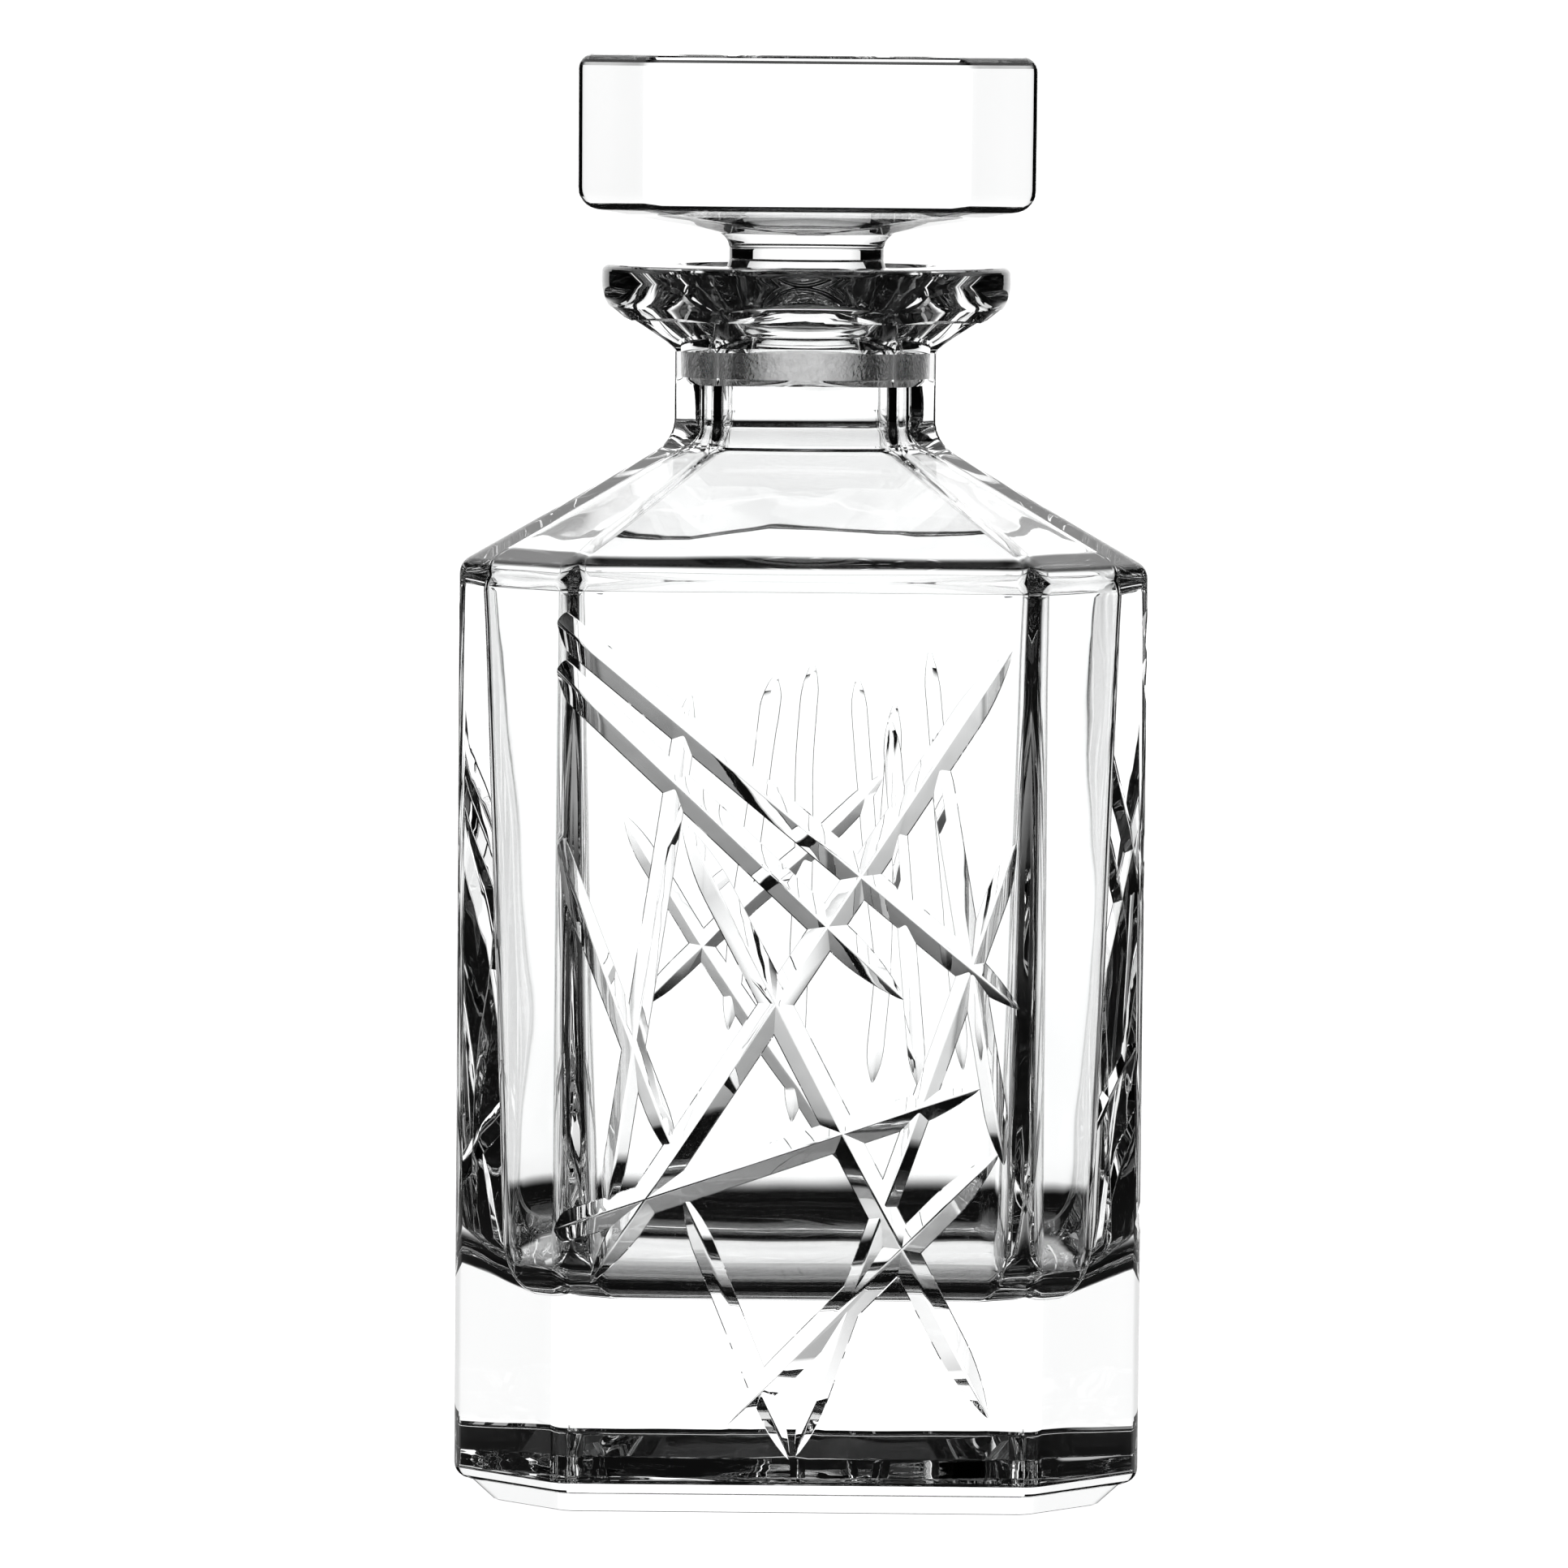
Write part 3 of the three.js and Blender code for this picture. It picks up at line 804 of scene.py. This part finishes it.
def bright_field(nodes, links, direction, sign):
    """How bright the surroundings are, 0 to 1, in a ray's direction.

    They are bright behind the object, in a band about the line of sight, and dark above, below and
    on the camera's side. The sign is -1 where the direction points back along the ray.
    """
    facing = nodes.new("ShaderNodeVectorTransform")
    facing.vector_type = "VECTOR"
    facing.convert_from, facing.convert_to = "WORLD", "CAMERA"
    links.new(direction, facing.inputs["Vector"])
    parts = nodes.new("ShaderNodeSeparateXYZ")
    links.new(facing.outputs["Vector"], parts.inputs["Vector"])
    forward = calculate(nodes, links, "MULTIPLY", parts.outputs["Z"], sign)
    rise = calculate(nodes, links, "MULTIPLY", parts.outputs["Y"], sign)
    top_start, top_end = [math.sin(math.radians(angle)) for angle in RISE_FADE]
    drop_start, drop_end = [-math.sin(math.radians(angle)) for angle in DROP_FADE]
    bright = map_range(nodes, links, forward, 0.0, AHEAD_FADE, 0, 1)
    below_top = map_range(nodes, links, rise, top_start, top_end, 1, 0)
    above_drop = map_range(nodes, links, rise, drop_end, drop_start, 0, 1)
    aside = calculate(nodes, links, "ABSOLUTE", parts.outputs["X"])
    side_start, side_end = [math.sin(math.radians(angle)) for angle in SIDE_FADE]
    by_side = map_range(nodes, links, aside, side_start, side_end, 1, SIDE_SHARE)
    for factor in (below_top, above_drop, by_side):
        bright = calculate(nodes, links, "MULTIPLY", bright, factor)
    return bright


def field_strength(nodes, links, bright):
    """Emission strength for a share of the bright field."""
    strength = calculate(nodes, links, "MULTIPLY", bright, BACKDROP)
    return calculate(nodes, links, "ADD", strength, DARKNESS)


def floor_material(camera):
    """Pale to the eye. Through the glass it is a bright strip within the bright field."""
    material, nodes, links, shader = node_material("pale_floor")
    geometry = nodes.new("ShaderNodeNewGeometry")
    steepness = nodes.new("ShaderNodeSeparateXYZ")
    links.new(geometry.outputs["Incoming"], steepness.inputs["Vector"])
    low, high = [math.sin(math.radians(angle)) for angle in STEEP_VIEW]
    pale = map_range(nodes, links, steepness.outputs["Z"], low, high, 1, STEEP_SHARE)
    shader.inputs["Base Color"].default_value = (0.9, 0.9, 0.9, 1)
    shader.inputs["Roughness"].default_value = 0.9
    shader.inputs["Emission Color"].default_value = (1, 1, 1, 1)
    links.new(pale, shader.inputs["Emission Strength"])
    place = nodes.new("ShaderNodeTexCoord")
    place.object = camera
    aside = nodes.new("ShaderNodeSeparateXYZ")
    links.new(place.outputs["Object"], aside.inputs["Vector"])
    distance = calculate(nodes, links, "ABSOLUTE", aside.outputs["X"])
    edge = FLOOR_BRIGHT_HALF_WIDTH
    by_side = map_range(nodes, links, distance, edge, edge + FLOOR_EDGE_SOFTNESS, 1, 0)
    bright = bright_field(nodes, links, geometry.outputs["Incoming"], -1)
    bright = calculate(nodes, links, "MULTIPLY", bright, by_side)
    bright = calculate(nodes, links, "MULTIPLY", bright, pale)
    glow = nodes.new("ShaderNodeEmission")
    links.new(field_strength(nodes, links, bright), glow.inputs["Strength"])
    light_path = nodes.new("ShaderNodeLightPath")
    choice = nodes.new("ShaderNodeMixShader")
    links.new(light_path.outputs["Is Camera Ray"], choice.inputs["Fac"])
    links.new(glow.outputs["Emission"], choice.inputs[1])
    links.new(shader.outputs["BSDF"], choice.inputs[2])
    links.new(choice.outputs["Shader"], nodes["Material Output"].inputs["Surface"])
    return material


def black_material():
    material, _, _, shader = node_material("black_flag")
    shader.inputs["Base Color"].default_value = (0.004, 0.004, 0.004, 1)
    shader.inputs["Roughness"].default_value = 1
    shader.inputs["Specular IOR Level"].default_value = 0
    return material


# ---------------------------------------------------------------- the studio

def disc_floor(camera):
    count = FLOOR_SEGMENTS
    vertices = [(0, 0, -FLOOR_DROP)]
    for i in range(count):
        angle = 2 * math.pi * i / count
        vertices.append((FLOOR_RADIUS * math.cos(angle), FLOOR_RADIUS * math.sin(angle), -FLOOR_DROP))
    faces = [(0, i + 1, (i + 1) % count + 1) for i in range(count)]
    mesh = bpy.data.meshes.new("floor")
    mesh.from_pydata(vertices, [], faces)
    floor = new_object("floor", mesh)
    mesh.materials.append(floor_material(camera))


def card(name, camera, corners, material):
    """A flat card fixed to the camera, so that it follows the camera round."""
    mesh = bpy.data.meshes.new(name)
    mesh.from_pydata(corners, [], [(0, 1, 2, 3)])
    mesh.materials.append(material)
    held = new_object(name, mesh)
    held.parent = camera


def studio_flags(camera):
    """Black flags at both sides of the object and behind the camera."""
    black = black_material()
    side, back = FLAG_SIDE, FLAG_BEHIND_CAMERA
    far = -FLAG_REACH
    low, high = -FLAG_HEIGHT, FLAG_HEIGHT
    for name, x in (("flag_left", -side), ("flag_right", side)):
        card(name, camera, [(x, low, back), (x, low, far), (x, high, far), (x, high, back)], black)
    card(
        "flag_behind",
        camera,
        [(-side, low, back), (side, low, back), (side, high, back), (-side, high, back)],
        black,
    )


def top_light():
    """A faint soft light from above, aimed at the foot."""
    light = bpy.data.lights.new("top_light", "AREA")
    light.size = TOP_LIGHT_SIZE
    light.energy = TOP_LIGHT_POWER
    lamp = new_object("top_light", light)
    lamp.location = TOP_LIGHT_PLACE
    lamp.rotation_euler = (-TOP_LIGHT_PLACE).to_track_quat("-Z", "Y").to_euler()


def set_world():
    """A bright field behind the object, dark elsewhere."""
    world = bpy.data.worlds.new("studio")
    world.use_nodes = True
    nodes, links = world.node_tree.nodes, world.node_tree.links
    place = nodes.new("ShaderNodeTexCoord")
    bright = bright_field(nodes, links, place.outputs["Generated"], 1)
    links.new(field_strength(nodes, links, bright), nodes["Background"].inputs["Strength"])
    nodes["Background"].inputs["Color"].default_value = (1, 1, 1, 1)
    bpy.context.scene.world = world


def make_camera():
    data = bpy.data.cameras.new("camera")
    data.lens = LENS_MM
    data.clip_end = VIEW_END
    camera = new_object("camera", data)
    look = Matrix.Rotation(EYE_YAW, 4, "Z") @ Matrix.Rotation(math.pi / 2 + EYE_PITCH, 4, "X")
    camera.matrix_world = Matrix.Translation(EYE) @ look @ Matrix.Rotation(EYE_ROLL, 4, "Z")
    bpy.context.scene.camera = camera
    return camera


def build_studio():
    camera = make_camera()
    disc_floor(camera)
    studio_flags(camera)
    top_light()
    set_world()
    scene = bpy.context.scene
    scene.view_settings.view_transform = "Standard"
    scene.cycles.max_bounces = GLASS_BOUNCES
    scene.cycles.transmission_bounces = GLASS_BOUNCES
    scene.cycles.glossy_bounces = OTHER_BOUNCES
    scene.cycles.transparent_max_bounces = OTHER_BOUNCES


def build_decanter():
    polished, cut, ground = polished_crystal(), cut_crystal(), ground_crystal()
    bottle = build_bottle(polished, cut, ground)
    stopper = build_stopper(polished, ground)
    for piece, node in ((bottle, "bottle"), (stopper, "stopper")):
        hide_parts(node)
        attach(piece, node)


build_decanter()
build_studio()
